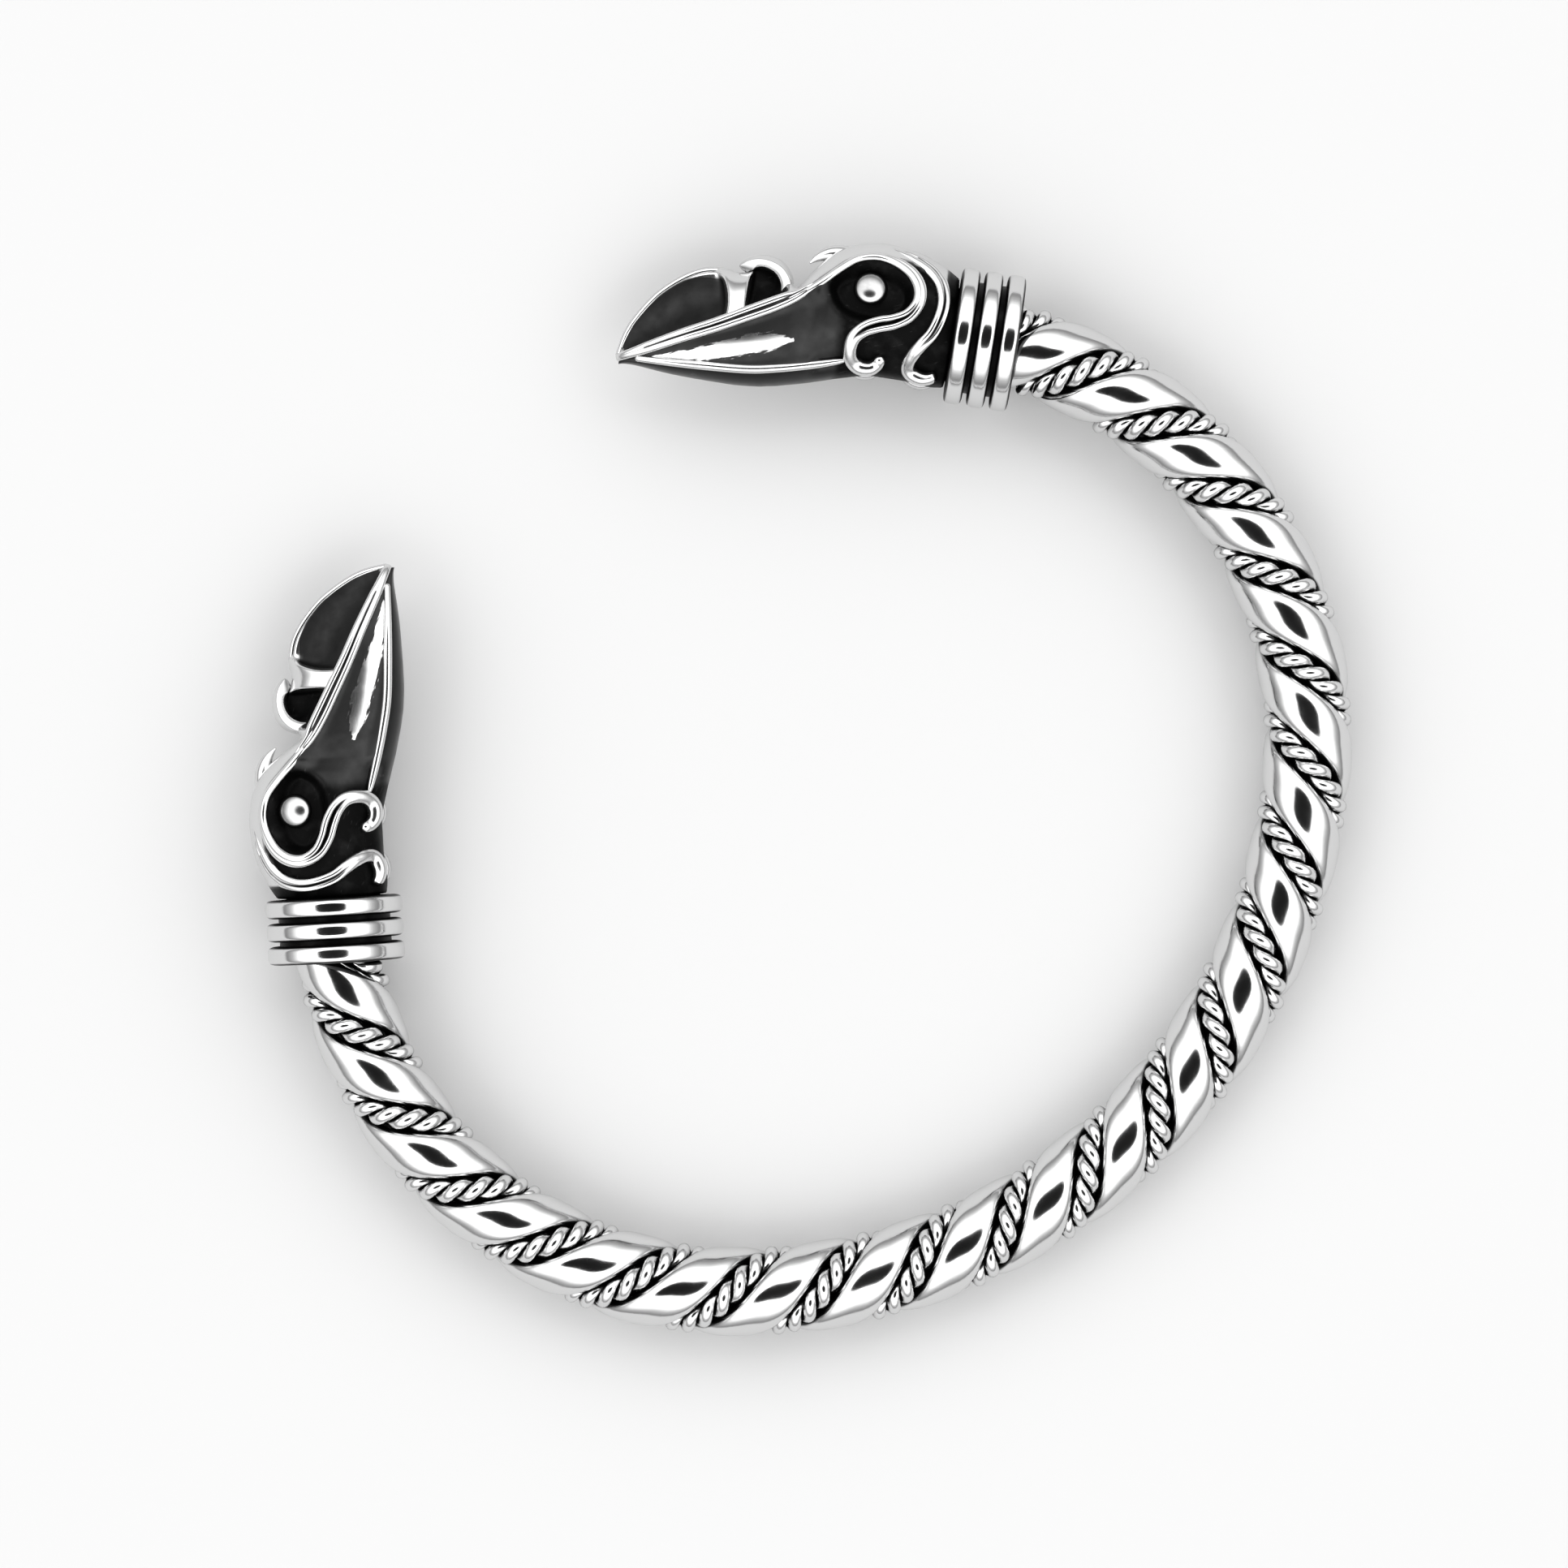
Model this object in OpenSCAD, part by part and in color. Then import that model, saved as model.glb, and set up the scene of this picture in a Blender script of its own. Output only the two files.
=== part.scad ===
// Twisted arm ring, open at the front, with a raven head on each end.
// The ring lies on its side: it touches down on its two collars and on the
// back of the rope, so it leans back a little. +Z is up and +Y points to the gap.
// The origin is on the surface it lies on, under the middle of the ring.

/* [Ring] */
// Middle of the ring to the middle of the rope at its widest
half_width = 34.7; // [31:0.1:39]
// Middle of the ring to the middle of the rope at the back
back_depth = 30.15; // [27:0.05:34]
// How far past the widest place the bend of each side meets that of the back, in degrees
side_bend = 47.8; // [40:0.1:56]
// How far past the widest place each collar sits, in degrees
collar_angle = 36; // [30:1:42]
// How far each head is turned in from the line of the rope, in degrees
head_turn = 3; // [0:0.5:4]

/* [Rope] */
// Across the whole rope
rope_d = 6; // [5.5:0.1:6.5]
// Turns of the rope's left-handed twist from one collar to the other
twist_turns = 10.59; // [9:0.01:12]
// Across a smooth strand
strand_w = 2.96; // [2.6:0.02:3.1]
// Depth of a smooth strand, from the rope's surface to the core
strand_t = 1.56; // [1.3:0.02:1.8]
// Left clear between strands that lie side by side
strand_gap = 0.03; // [0.02:0.01:0.1]
// Left clear between the strands and the core
core_gap = 0.18; // [0.15:0.01:0.25]
// From the middle of the right collar to the first crest on the face
first_crest = 3.7; // [0:0.1:6.4]

/* [Collars] */
// Across a collar's rings
collar_d = 9.2; // [8.4:0.1:10]
// Width of one ring
ring_w = 1.25; // [1:0.05:1.4]
// From one ring to the next
ring_step = 1.55; // [1.5:0.05:1.8]
// Depth of the grooves between the rings
groove_depth = 0.85; // [0.4:0.05:0.9]
// Room round the rope in the collar
rope_room = 0.25; // [0.22:0.01:0.3]
// How far the rope goes into a collar
rope_reach = 2; // [1.6:0.1:2.3]

/* [Heads] */
// From the collar to the tip of the beak
head_len = 21.8; // [19:0.1:24]
// Crown to throat
head_h = 9.25; // [8.5:0.05:10]
// Across the head at the eyes
head_w = 8.4; // [7.6:0.1:9]
// Thickness of the brow bands
band_d = 0.9; // [0.6:0.05:1.1]
// Across an eye
eye_d = 2.4; // [1.8:0.1:2.8]
// Length of the socket round an eye
socket_len = 5.5; // [4.6:0.1:5.8]
// Height of the socket
socket_h = 4.4; // [3.8:0.1:4.8]
// How deep the socket is cut
socket_depth = 1.4; // [0.8:0.1:1.8]
// How deep the hollows of the beak are, as a share of what could be cut away
hollow_share = 0.8; // [0.5:0.05:0.9]
// Clear all round the stem by which a head sits in its collar, and at both its ends
seat_gap = 0.1; // [0.05:0.01:0.15]

/* [Hidden] */
$fn = 64;
steel = [0.80, 0.80, 0.82];
dark_steel = [0.45, 0.45, 0.47];

// Smooth strands in the rope, with as many thin pairs between them
strand_count = 2;
// Rings of points for each turn of the rope, and corners of each swept section
rings_per_turn = 11;
strand_sides = 10;
pair_sides = 6;
core_sides = 8;
core_rings = 48;
band_sides = 6;
hook_sides = 6;
eye_sides = 14;
socket_sides = 20;
stem_sides = 24;
// Corners of a head's section above and below its brow line, named by their angle,
// and the half width of the crest that stays between two hollows, as a share
upper_angles = [90, 66, 42, 18, 0];
lower_angles = [-25, -50, -75, -90];
crest_share = 0.22;
// Step along a strand over which its direction is taken
small_step = 0.05;

// Centreline of the rope: an arc at each side and a wider one at the back, which
// meet without a kink. The middles of the arcs are side_x and back_y from the
// middle of the ring, and arc_gap from each other.
arc_gap = (half_width - back_depth) / (sin(side_bend) + cos(side_bend) - 1);
side_x = arc_gap * cos(side_bend);
back_y = arc_gap * sin(side_bend);
side_radius = half_width - side_x;
back_radius = back_depth + back_y;
side_run = (collar_angle + side_bend) * PI / 180 * side_radius;
back_run = (180 - 2 * side_bend) * PI / 180 * back_radius;
rope_run = 2 * side_run + back_run;
pitch = rope_run / twist_turns;

// Strands: the thin pairs fill what the smooth strands leave, measured where
// the rope is bent tightest and its twist is closest
rope_r = rope_d / 2;
strand_r = rope_r - strand_t / 2;
tight_pitch = pitch * (1 - rope_r / side_radius);
strand_lean = atan(2 * PI * strand_r / tight_pitch);
pair_d = 2 * PI * strand_r * cos(strand_lean) / strand_count - strand_w - 2 * strand_gap;
pair_r = rope_r - pair_d / 2;
core_d = rope_d - 2 * strand_t - 2 * core_gap;

// Collars and the seat of each head
collar_r = collar_d / 2;
collar_len = 2 * ring_step + ring_w;
bore_r = rope_r + rope_room;
mouth = collar_len / 2 - rope_reach;
stem_r = bore_r - seat_gap;
// The cut ends of the smooth strands reach a little past the end of the rope's
// middle line, and the turned stem fills what they leave of the collar
strand_tip = strand_w / 2 * sin(strand_lean);
stem_len = collar_len - rope_reach - strand_tip - stem_r * sin(head_turn) - seat_gap;
head_start = collar_len / 2 + seat_gap;
collar_pos = [side_x + side_radius * cos(collar_angle), side_radius * sin(collar_angle), 0];

// The ring leans back from the collars' rearmost rings until the rope meets the
// surface at the back
foot_y = collar_pos[1] - ring_step * cos(collar_angle + head_turn);
lean = asin((collar_r - rope_r) / (foot_y + back_depth));
lift = back_depth * sin(lean) + rope_r * cos(lean);

// Sections of a head from neck to beak tip. The columns are the place along the
// head, the top, the height of the brow line, the bottom, the half width, and how
// far the side above the brow line is hollowed, all as shares.
head_sections = [
    [0.000,  0.40,  0.00, -0.39, 0.90, 0.0],
    [0.040,  0.47,  0.02, -0.40, 0.96, 0.0],
    [0.125,  0.55,  0.06, -0.39, 1.00, 0.0],
    [0.225,  0.58,  0.11, -0.39, 1.00, 0.0],
    [0.315,  0.55,  0.13, -0.43, 0.95, 0.0],
    [0.390,  0.50,  0.14, -0.49, 0.88, 0.0],
    [0.425,  0.46,  0.14, -0.51, 0.84, 0.3],
    [0.455,  0.37,  0.13, -0.53, 0.80, 0.8],
    [0.478,  0.21,  0.10, -0.55, 0.77, 0.4],
    [0.500,  0.17,  0.07, -0.56, 0.75, 0.0],
    [0.520,  0.27,  0.05, -0.57, 0.74, 0.0],
    [0.550,  0.34,  0.01, -0.58, 0.72, 0.1],
    [0.582,  0.36, -0.03, -0.59, 0.70, 0.9],
    [0.637,  0.32, -0.10, -0.60, 0.68, 1.0],
    [0.660,  0.24, -0.13, -0.60, 0.67, 0.8],
    [0.672,  0.19, -0.14, -0.60, 0.66, 0.0],
    [0.697,  0.22, -0.17, -0.60, 0.64, 0.0],
    [0.720,  0.23, -0.20, -0.60, 0.61, 0.9],
    [0.790,  0.20, -0.28, -0.60, 0.56, 1.0],
    [0.858,  0.11, -0.37, -0.59, 0.47, 1.0],
    [0.913, -0.02, -0.43, -0.57, 0.38, 0.9],
    [0.959, -0.18, -0.48, -0.57, 0.27, 0.7],
    [0.990, -0.36, -0.52, -0.58, 0.15, 0.3],
    [1.000, -0.50, -0.55, -0.59, 0.07, 0.0]];

// The two brow bands, as places along the head and heights over the collar's axis.
// The crown band comes up the beak along the brow line and ends in the rear hook.
// The eye band leaves it, follows the socket's rim and ends in the front hook.
crown_band = [[0.975, -0.50], [0.92, -0.43], [0.85, -0.35], [0.77, -0.25], [0.69, -0.16],
    [0.61, -0.06], [0.53, 0.04], [0.46, 0.13], [0.41, 0.26], [0.37, 0.38], [0.31, 0.475],
    [0.22, 0.52], [0.14, 0.49], [0.08, 0.41], [0.045, 0.27], [0.045, 0.10],
    [0.075, -0.06], [0.125, -0.21], [0.13, -0.31], [0.10, -0.37], [0.055, -0.36]];
eye_band_start = [[0.445, 0.11], [0.41, 0.20]];
rim_angles = [30, 60, 90, 120, 150, 180, 210, 240, 270];
eye_band_end = [[0.30, -0.11], [0.325, -0.22], [0.32, -0.33], [0.27, -0.39], [0.215, -0.37]];

// Middle of the eye, as shares of the head's length and height
eye_place = [0.26, 0.22];

// Thickness of a hook against the rest of its band, and of a band at the beak's tip
hook_share = 1.25;
tip_share = 0.3;

// How far the eye's middle stands over the floor of its socket, as a share of the eye
eye_stand_share = 0.25;

function mix(a, b, t) = a + (b - a) * t;

// The rope's centreline at a distance s from the middle of the right collar:
// its point, and the direction pointing outwards as an angle
function side_angle(s) = collar_angle - s / side_radius * 180 / PI;
function back_angle(s) = -side_bend - (s - side_run) / back_radius * 180 / PI;
function outward(s) = s <= side_run ? side_angle(s)
    : s <= side_run + back_run ? back_angle(s)
    : 180 - side_angle(rope_run - s);
function arc_point(middle, r, a) = [middle[0] + r * cos(a), middle[1] + r * sin(a), 0];
function centre(s) = s <= side_run ? arc_point([side_x, 0], side_radius, outward(s))
    : s <= side_run + back_run ? arc_point([0, back_y], back_radius, outward(s))
    : arc_point([-side_x, 0], side_radius, outward(s));

// A strand's own line round the rope, and the directions across it
function spoke(s, turn) = let (a = turn - 360 * s / pitch, o = outward(s))
    [cos(a) * cos(o), cos(a) * sin(o), sin(a)];
function strand_point(s, r, turn) = centre(s) + r * spoke(s, turn);
function unit(v) = v / norm(v);
function strand_dir(s, r, turn) =
    unit(strand_point(s + small_step, r, turn) - strand_point(s - small_step, r, turn));

// One ring of points round a strand: t deep and w wide, seen from outside the rope
function strand_ring(s, r, turn, t, w, sides) =
    let (out = spoke(s, turn), across = cross(out, strand_dir(s, r, turn)))
    [for (i = [0 : sides - 1]) let (a = 360 * (i + 0.5) / sides)
        strand_point(s, r, turn) + t / 2 * cos(a) * out + w / 2 * sin(a) * across];

// Skin over a list of rings, closed at both ends
function skin_faces(rings, sides) = concat(
    [[for (i = [sides - 1 : -1 : 0]) i]],
    [for (k = [0 : rings - 2]) for (i = [0 : sides - 1])
        let (j = (i + 1) % sides, a = k * sides, b = a + sides)
        each [[a + i, a + j, b + i], [a + j, b + j, b + i]]],
    [[for (i = [0 : sides - 1]) (rings - 1) * sides + i]]);
module skin(rings) {
    sides = len(rings[0]);
    polyhedron(points = [for (r = rings) each r], faces = skin_faces(len(rings), sides), convexity = 10);
}

// A strand from inside one collar to inside the other
module strand(r, turn, t, w, sides) {
    first = mouth;
    last = rope_run - mouth;
    count = ceil((last - first) / pitch * rings_per_turn);
    skin([for (i = [0 : count]) strand_ring(mix(first, last, i / count), r, turn, t, w, sides)]);
}

// Turns the flat ring to the way it lies
module lying() {
    translate([0, 0, lift]) rotate([lean, 0, 0]) children();
}

// Puts an end piece, made along +X with its top at +Z, on the right end of the rope
module on_right_end() {
    translate(collar_pos) rotate([0, 0, 90 + collar_angle + head_turn]) rotate([90, 0, 0]) children();
}

// The core runs straight through the middle of the rope, with no twist
function core_ring(s) = let (o = outward(s))
    [for (i = [0 : core_sides - 1]) let (a = 360 * i / core_sides)
        centre(s) + core_d / 2 * [cos(a) * cos(o), cos(a) * sin(o), -sin(a)]];
module core_rod() {
    color(dark_steel) lying()
        skin([for (i = [0 : core_rings]) core_ring(mix(mouth, rope_run - mouth, i / core_rings))]);
}

module smooth_strand(k) {
    color(steel) lying()
        strand(strand_r, 90 + 360 * first_crest / pitch + 360 / strand_count * k, strand_t, strand_w, strand_sides);
}

module twisted_strand(k) {
    color(dark_steel) lying()
        strand(pair_r, 90 + 360 * first_crest / pitch + 360 / strand_count * (k + 0.5), pair_d, pair_d, pair_sides);
}

// A sleeve with three rounded rings
module collar() {
    ring_r = ring_w / 2;
    rotate([0, 90, 0]) rotate_extrude() {
        translate([bore_r, -collar_len / 2]) square([collar_r - groove_depth - bore_r, collar_len]);
        for (k = [-1 : 1]) {
            translate([bore_r, k * ring_step - ring_r]) square([collar_r - ring_r - bore_r, ring_w]);
            translate([collar_r - ring_r, k * ring_step]) circle(ring_r);
        }
    }
}
module collar_right() {
    color(steel) lying() on_right_end() collar();
}
module collar_left() {
    color(steel) lying() mirror([1, 0, 0]) on_right_end() collar();
}

// Head: its skin goes through the sections, each a closed ring with the same corners
function head_x(share) = head_start + share * head_len;
function corner(row, a) =
    let (w = row[4] * head_w / 2, m = row[2] * head_h,
        reach = a > 0 ? row[1] * head_h - m : m - row[3] * head_h,
        y = w * cos(a), crest = crest_share * w,
        cut = a > 0 && a < 90 ? row[5] * hollow_share * max(0, y - crest) : 0)
    [head_x(row[0]), y - cut, m + reach * sin(a)];
function flip(p) = [p[0], -p[1], p[2]];
function head_ring(row) = concat(
    [for (a = upper_angles) corner(row, a)],
    [for (a = lower_angles) corner(row, a)],
    [for (i = [len(lower_angles) - 2 : -1 : 0]) flip(corner(row, lower_angles[i]))],
    [for (i = [len(upper_angles) - 1 : -1 : 1]) flip(corner(row, upper_angles[i]))]);

// The section at any place along the head, and the half width there at a height
function row_after(x, i = 0) =
    i >= len(head_sections) - 1 || head_sections[i][0] >= x ? i : row_after(x, i + 1);
function row_at(x) = let (j = max(1, row_after(x)), a = head_sections[j - 1], b = head_sections[j])
    mix(a, b, (x - a[0]) / (b[0] - a[0]));
function side_at(x, h) =
    let (row = row_at(x), d = h - row[2], reach = d > 0 ? row[1] - row[2] : row[2] - row[3])
    row[4] * head_w / 2 * sqrt(max(0, 1 - pow(min(1, abs(d) / reach), 2)));
function on_side(p) = [head_x(p[0]), side_at(p[0], p[1]), p[1] * head_h];

// The eye band's places
function rim(a) = [
    eye_place[0] + (socket_len + band_d / 2) / 2 * cos(a) / head_len,
    eye_place[1] + (socket_h + band_d / 2) / 2 * sin(a) / head_h];
eye_band = concat(eye_band_start, [for (a = rim_angles) rim(a)], eye_band_end);

// A band that runs over the side of the head through chosen places, thinner
// towards the beak's tip
function band_r(x) = band_d / 2 * min(1, tip_share + row_at(x)[4]);
function band_ring(points, shares, i) =
    let (p = points[i], last = len(points) - 1,
        dir = unit(points[min(i + 1, last)] - points[max(i - 1, 0)]),
        out = unit([0, p[1], p[2] - row_at(shares[i][0])[2] * head_h]),
        across = unit(cross(out, dir)), lift_dir = cross(dir, across), r = band_r(shares[i][0]))
    [for (k = [0 : band_sides - 1]) let (a = 360 * k / band_sides)
        p + r * cos(a) * lift_dir + r * sin(a) * across];
module band(places) {
    points = [for (p = places) on_side(p)];
    last = len(places) - 1;
    skin([for (i = [0 : last]) band_ring(points, places, i)]);
    // Its hook is thicker
    for (i = [last - 2, last - 1]) hull() {
        translate(points[i]) sphere(d = band_d * hook_share, $fn = hook_sides);
        translate(points[i + 1]) sphere(d = band_d * hook_share, $fn = hook_sides);
    }
}

module head_side() {
    band(crown_band);
    band(eye_band);
    eye = on_side(eye_place);
    translate([eye[0], eye[1] - socket_depth + eye_stand_share * eye_d, eye[2]])
        sphere(d = eye_d, $fn = eye_sides);
}

module head() {
    eye = on_side(eye_place);
    difference() {
        skin([for (row = head_sections) head_ring(row)]);
        for (side = [-1, 1])
            translate([eye[0], side * (eye[1] - socket_depth), eye[2]])
                scale([socket_len, 1, socket_h]) rotate([-90 * side, 0, 0])
                    cylinder(d = 1, h = head_w, $fn = socket_sides);
    }
    head_side();
    mirror([0, 1, 0]) head_side();
    // The stem that sits in the collar, sunk a little into the neck
    translate([head_start - seat_gap - stem_len, 0, 0]) rotate([0, 90, 0])
        cylinder(r = stem_r, h = stem_len + 2 * seat_gap, $fn = stem_sides);
}
module raven_head_right() {
    color(steel) lying() on_right_end() head();
}
module raven_head_left() {
    color(steel) lying() mirror([1, 0, 0]) on_right_end() head();
}

core_rod();
smooth_strand(0);  // smooth_strand_1
smooth_strand(1);  // smooth_strand_2
twisted_strand(0);  // twisted_strand_1
twisted_strand(1);  // twisted_strand_2
collar_right();
collar_left();
raven_head_right();
raven_head_left();
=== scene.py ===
import bmesh
import bpy
from math import asin, atan, atan2, copysign, cos, degrees, hypot, pi, radians, sin, sqrt
from mathutils import Matrix, Vector
from mathutils.kdtree import KDTree


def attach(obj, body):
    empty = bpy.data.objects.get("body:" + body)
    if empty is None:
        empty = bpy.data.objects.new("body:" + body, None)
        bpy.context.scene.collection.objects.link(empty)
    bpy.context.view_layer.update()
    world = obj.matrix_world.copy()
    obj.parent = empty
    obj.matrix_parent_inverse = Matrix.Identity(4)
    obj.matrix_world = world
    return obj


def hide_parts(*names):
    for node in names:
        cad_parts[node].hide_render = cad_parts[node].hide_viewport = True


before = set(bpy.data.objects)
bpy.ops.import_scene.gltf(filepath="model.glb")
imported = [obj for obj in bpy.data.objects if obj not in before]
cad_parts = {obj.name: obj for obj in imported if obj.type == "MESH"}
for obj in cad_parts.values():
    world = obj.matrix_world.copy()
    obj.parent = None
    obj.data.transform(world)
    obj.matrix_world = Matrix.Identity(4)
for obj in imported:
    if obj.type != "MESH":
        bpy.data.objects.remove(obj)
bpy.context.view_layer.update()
print("frame loaded:", len(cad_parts), "nodes")

# Pieces are modelled in millimetres with the ring lying flat, and layOnTable puts them in place at the end.
# Angles in the dictionaries are in degrees.
ring = {"halfWidth": 34.7, "backDepth": 30.15, "sideBend": 47.8, "collarAngle": 36, "headTurn": 3}
rope = {"across": 6, "strands": 2, "twistTurns": 10.59, "firstCrest": 3.7,
        "mouth": 0.175,  # how far inside the middle line's ends the strands stop
        "lineSteps": 600}
metresPerMm = 0.001


def ovalOf(shape):
    # two side arcs and one back arc that run into each other, worked out from the widths and the bend
    bend = radians(shape["sideBend"])
    gap = (shape["halfWidth"] - shape["backDepth"]) / (sin(bend) + cos(bend) - 1)
    sideX = gap * cos(bend)
    backY = gap * sin(bend)
    sideRadius = shape["halfWidth"] - sideX
    backRadius = shape["backDepth"] + backY
    sideRun = (radians(shape["collarAngle"]) + bend) * sideRadius
    return {"sideX": sideX, "backY": backY, "sideRadius": sideRadius, "backRadius": backRadius,
            "sideRun": sideRun, "run": 2 * sideRun + (pi - 2 * bend) * backRadius}


oval = ovalOf(ring)
pitch = oval["run"] / rope["twistTurns"]
strandRun = oval["run"] - 2 * rope["mouth"]
collarAngle = radians(ring["collarAngle"])
sideBend = radians(ring["sideBend"])


def ropeMiddle(s):
    # the point on the rope's middle at s along it from the right end, and the angle that points outward there
    if s <= oval["sideRun"]:
        a = collarAngle - s / oval["sideRadius"]
        return Vector((oval["sideX"] + oval["sideRadius"] * cos(a), oval["sideRadius"] * sin(a), 0)), a
    if s <= oval["run"] - oval["sideRun"]:
        a = -sideBend - (s - oval["sideRun"]) / oval["backRadius"]
        return Vector((oval["backRadius"] * cos(a), oval["backY"] + oval["backRadius"] * sin(a), 0)), a
    a = pi - collarAngle + (oval["run"] - s) / oval["sideRadius"]
    return Vector((-oval["sideX"] + oval["sideRadius"] * cos(a), oval["sideRadius"] * sin(a), 0)), a


def ropeDepth(p):
    # how far a point is from the rope's middle
    x, y = abs(p.x), p.y
    onSide = atan2(y, x - oval["sideX"]) >= -sideBend
    if onSide:
        return hypot(hypot(x - oval["sideX"], y) - oval["sideRadius"], p.z)
    return hypot(hypot(x, y - oval["backY"]) - oval["backRadius"], p.z)


def smoothstep(low, high, value):
    # rises softly from 0 at low to 1 at high
    t = max(0, min(1, (value - low) / (high - low)))
    return t * t * (3 - 2 * t)


def deselectAll():
    bpy.ops.object.select_all(action="DESELECT")


def only(piece):
    deselectAll()
    piece.select_set(True)
    bpy.context.view_layer.objects.active = piece


def useModifier(piece, kind, **values):
    only(piece)
    modifier = piece.modifiers.new(kind.lower(), kind)
    for name, value in values.items():
        setattr(modifier, name, value)
    bpy.ops.object.modifier_apply(modifier=modifier.name)


def applyPlace(piece):
    only(piece)
    bpy.ops.object.transform_apply(location=True, rotation=True, scale=True)


def cleanFaces(piece, merge=0.0001, fill=False):
    # merges doubles, closes holes if asked and turns all faces outwards
    only(piece)
    bpy.ops.object.mode_set(mode="EDIT")
    bpy.ops.mesh.select_all(action="SELECT")
    if merge:
        bpy.ops.mesh.remove_doubles(threshold=merge)
    if fill:
        bpy.ops.mesh.fill_holes(sides=0)
    bpy.ops.mesh.normals_make_consistent(inside=False)
    bpy.ops.object.mode_set(mode="OBJECT")


def joinPieces(pieces, name):
    deselectAll()
    for piece in pieces:
        piece.select_set(True)
    bpy.context.view_layer.objects.active = pieces[0]
    if len(pieces) > 1:
        bpy.ops.object.join()
    joined = bpy.context.view_layer.objects.active
    joined.name = name
    joined.data.name = name
    return joined


def paint(piece, attribute, value):
    # stores value(vertex) for the materials to read, times any value that is there already
    layer = piece.data.attributes.get(attribute)
    before = [old.value for old in layer.data] if layer else [1] * len(piece.data.vertices)
    if not layer:
        layer = piece.data.attributes.new(attribute, "FLOAT", "POINT")
    layer.data.foreach_set("value", [old * value(v) for old, v in zip(before, piece.data.vertices)])


def curveThrough(before, start, end, after, t):
    # a share t of the way from start to end, on a smooth curve that also runs through the other two
    return 0.5 * (2 * start + (end - before) * t + (2 * before - 5 * start + 4 * end - after) * t * t
                  + (3 * start - before - 3 * end + after) * t ** 3)


def smoothRows(rows, step):
    # a curve through rows of any length, cut into short steps measured on the first two columns
    out = []
    for i in range(len(rows) - 1):
        before, start, end = rows[max(0, i - 1)], rows[i], rows[i + 1]
        after = rows[min(len(rows) - 1, i + 2)]
        count = max(1, round(hypot(end[0] - start[0], end[1] - start[1]) / step))
        for j in range(count):
            out.append([curveThrough(*four, j / count) for four in zip(before, start, end, after)])
    out.append(list(rows[-1]))
    return out


def smoothLine(points, step, fine=16):
    # a curve through a few chosen points, cut into even steps measured on fine pieces between each two
    knots = [Vector(p) for p in points]
    dense = []
    for i in range(len(knots) - 1):
        before, start = knots[max(0, i - 1)], knots[i]
        end, after = knots[i + 1], knots[min(len(knots) - 1, i + 2)]
        for j in range(fine):
            dense.append(curveThrough(before, start, end, after, j / fine))
    dense.append(knots[-1])
    run = [0]
    for a, b in zip(dense, dense[1:]):
        run.append(run[-1] + (b - a).length)
    count = max(2, round(run[-1] / step))
    even = []
    k = 0
    for i in range(count + 1):
        target = run[-1] * i / count
        while k < len(run) - 2 and run[k + 1] < target:
            k += 1
        stretch = run[k + 1] - run[k]
        even.append(dense[k].lerp(dense[k + 1], (target - run[k]) / stretch if stretch else 0))
    return even


def curveLine(name, points, twist="Z_UP"):
    # a poly curve that other pieces are bent along
    line = bpy.data.curves.new(name, "CURVE")
    line.dimensions = "3D"
    line.twist_mode = twist
    spline = line.splines.new("POLY")
    spline.points.add(len(points) - 1)
    for knot, p in zip(spline.points, points):
        knot.co = (*p, 1)
    made = bpy.data.objects.new(name, line)
    bpy.context.scene.collection.objects.link(made)
    return made


def tube(points, radii, resolution=6):
    # a round bar along a line with its own radius at each point, turned into a mesh
    made = curveLine("bar", points, "MINIMUM")
    made.data.bevel_depth = 1
    made.data.bevel_resolution = resolution
    made.data.use_fill_caps = True
    for knot, r in zip(made.data.splines[0].points, radii):
        knot.radius = r
    only(made)
    bpy.ops.object.convert(target="MESH")
    return bpy.context.object


# The rope

# fromMiddle is from the rope's middle, and so are blackBelow and brightAbove, where the black oxide
# ends and the bare steel starts
smoothStrand = {"wide": 2.96, "thick": 1.56, "squareness": 2.3, "fromMiddle": 2.22, "sides": 36,
                "stepsPerTurn": 60, "blackBelow": 2.25, "brightAbove": 2.68}
# apart, creaseBelow and clearAbove are from the pair's own middle, and lay is the length of one full twist
twistedPair = {"wire": 0.84, "apart": 0.42, "fromMiddle": 2.16, "lay": 2.84, "sides": 16,
               "stepsPerLay": 18, "pathSteps": 1200,
               "blackBelow": 1.95, "brightAbove": 2.35, "creaseBelow": 0.34, "clearAbove": 0.56}


def helixPoint(s, turn, radius):
    # a point on a strand's own middle, at s along the rope
    p, out = ropeMiddle(s)
    a = turn - 2 * pi * s / pitch
    return p + radius * Vector((cos(a) * cos(out), cos(a) * sin(out), sin(a)))


def firstTurn(k, between=0):
    # where strand k stands round the rope's start, or the pair that lies between it and the next
    return radians(90 + 360 * rope["firstCrest"] / pitch + 360 / rope["strands"] * (k + between))


def openCircle(sides, radius):
    # a ring of edges that faces along x
    deselectAll()
    bpy.ops.mesh.primitive_circle_add(vertices=sides, radius=radius, fill_type="NOTHING",
                                      rotation=(0, pi / 2, 0))
    circle = bpy.context.object
    applyPlace(circle)
    return circle


def standOff(section, distance, lay):
    # moves a section off the axis and turns it square to the slant that it will wind with
    section.rotation_euler = (0, 0, atan(2 * pi * distance / lay))
    section.location = (0, 0, distance)
    applyPlace(section)


def windAlong(section, length, lay, stepsPerTurn):
    # winds a section into a long helix along x, one turn for each lay
    steps = round(stepsPerTurn * length / lay)
    useModifier(section, "SCREW", axis="X", angle=-2 * pi * length / lay, screw_offset=length,
                steps=steps, render_steps=steps, use_smooth_shade=True)


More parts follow.
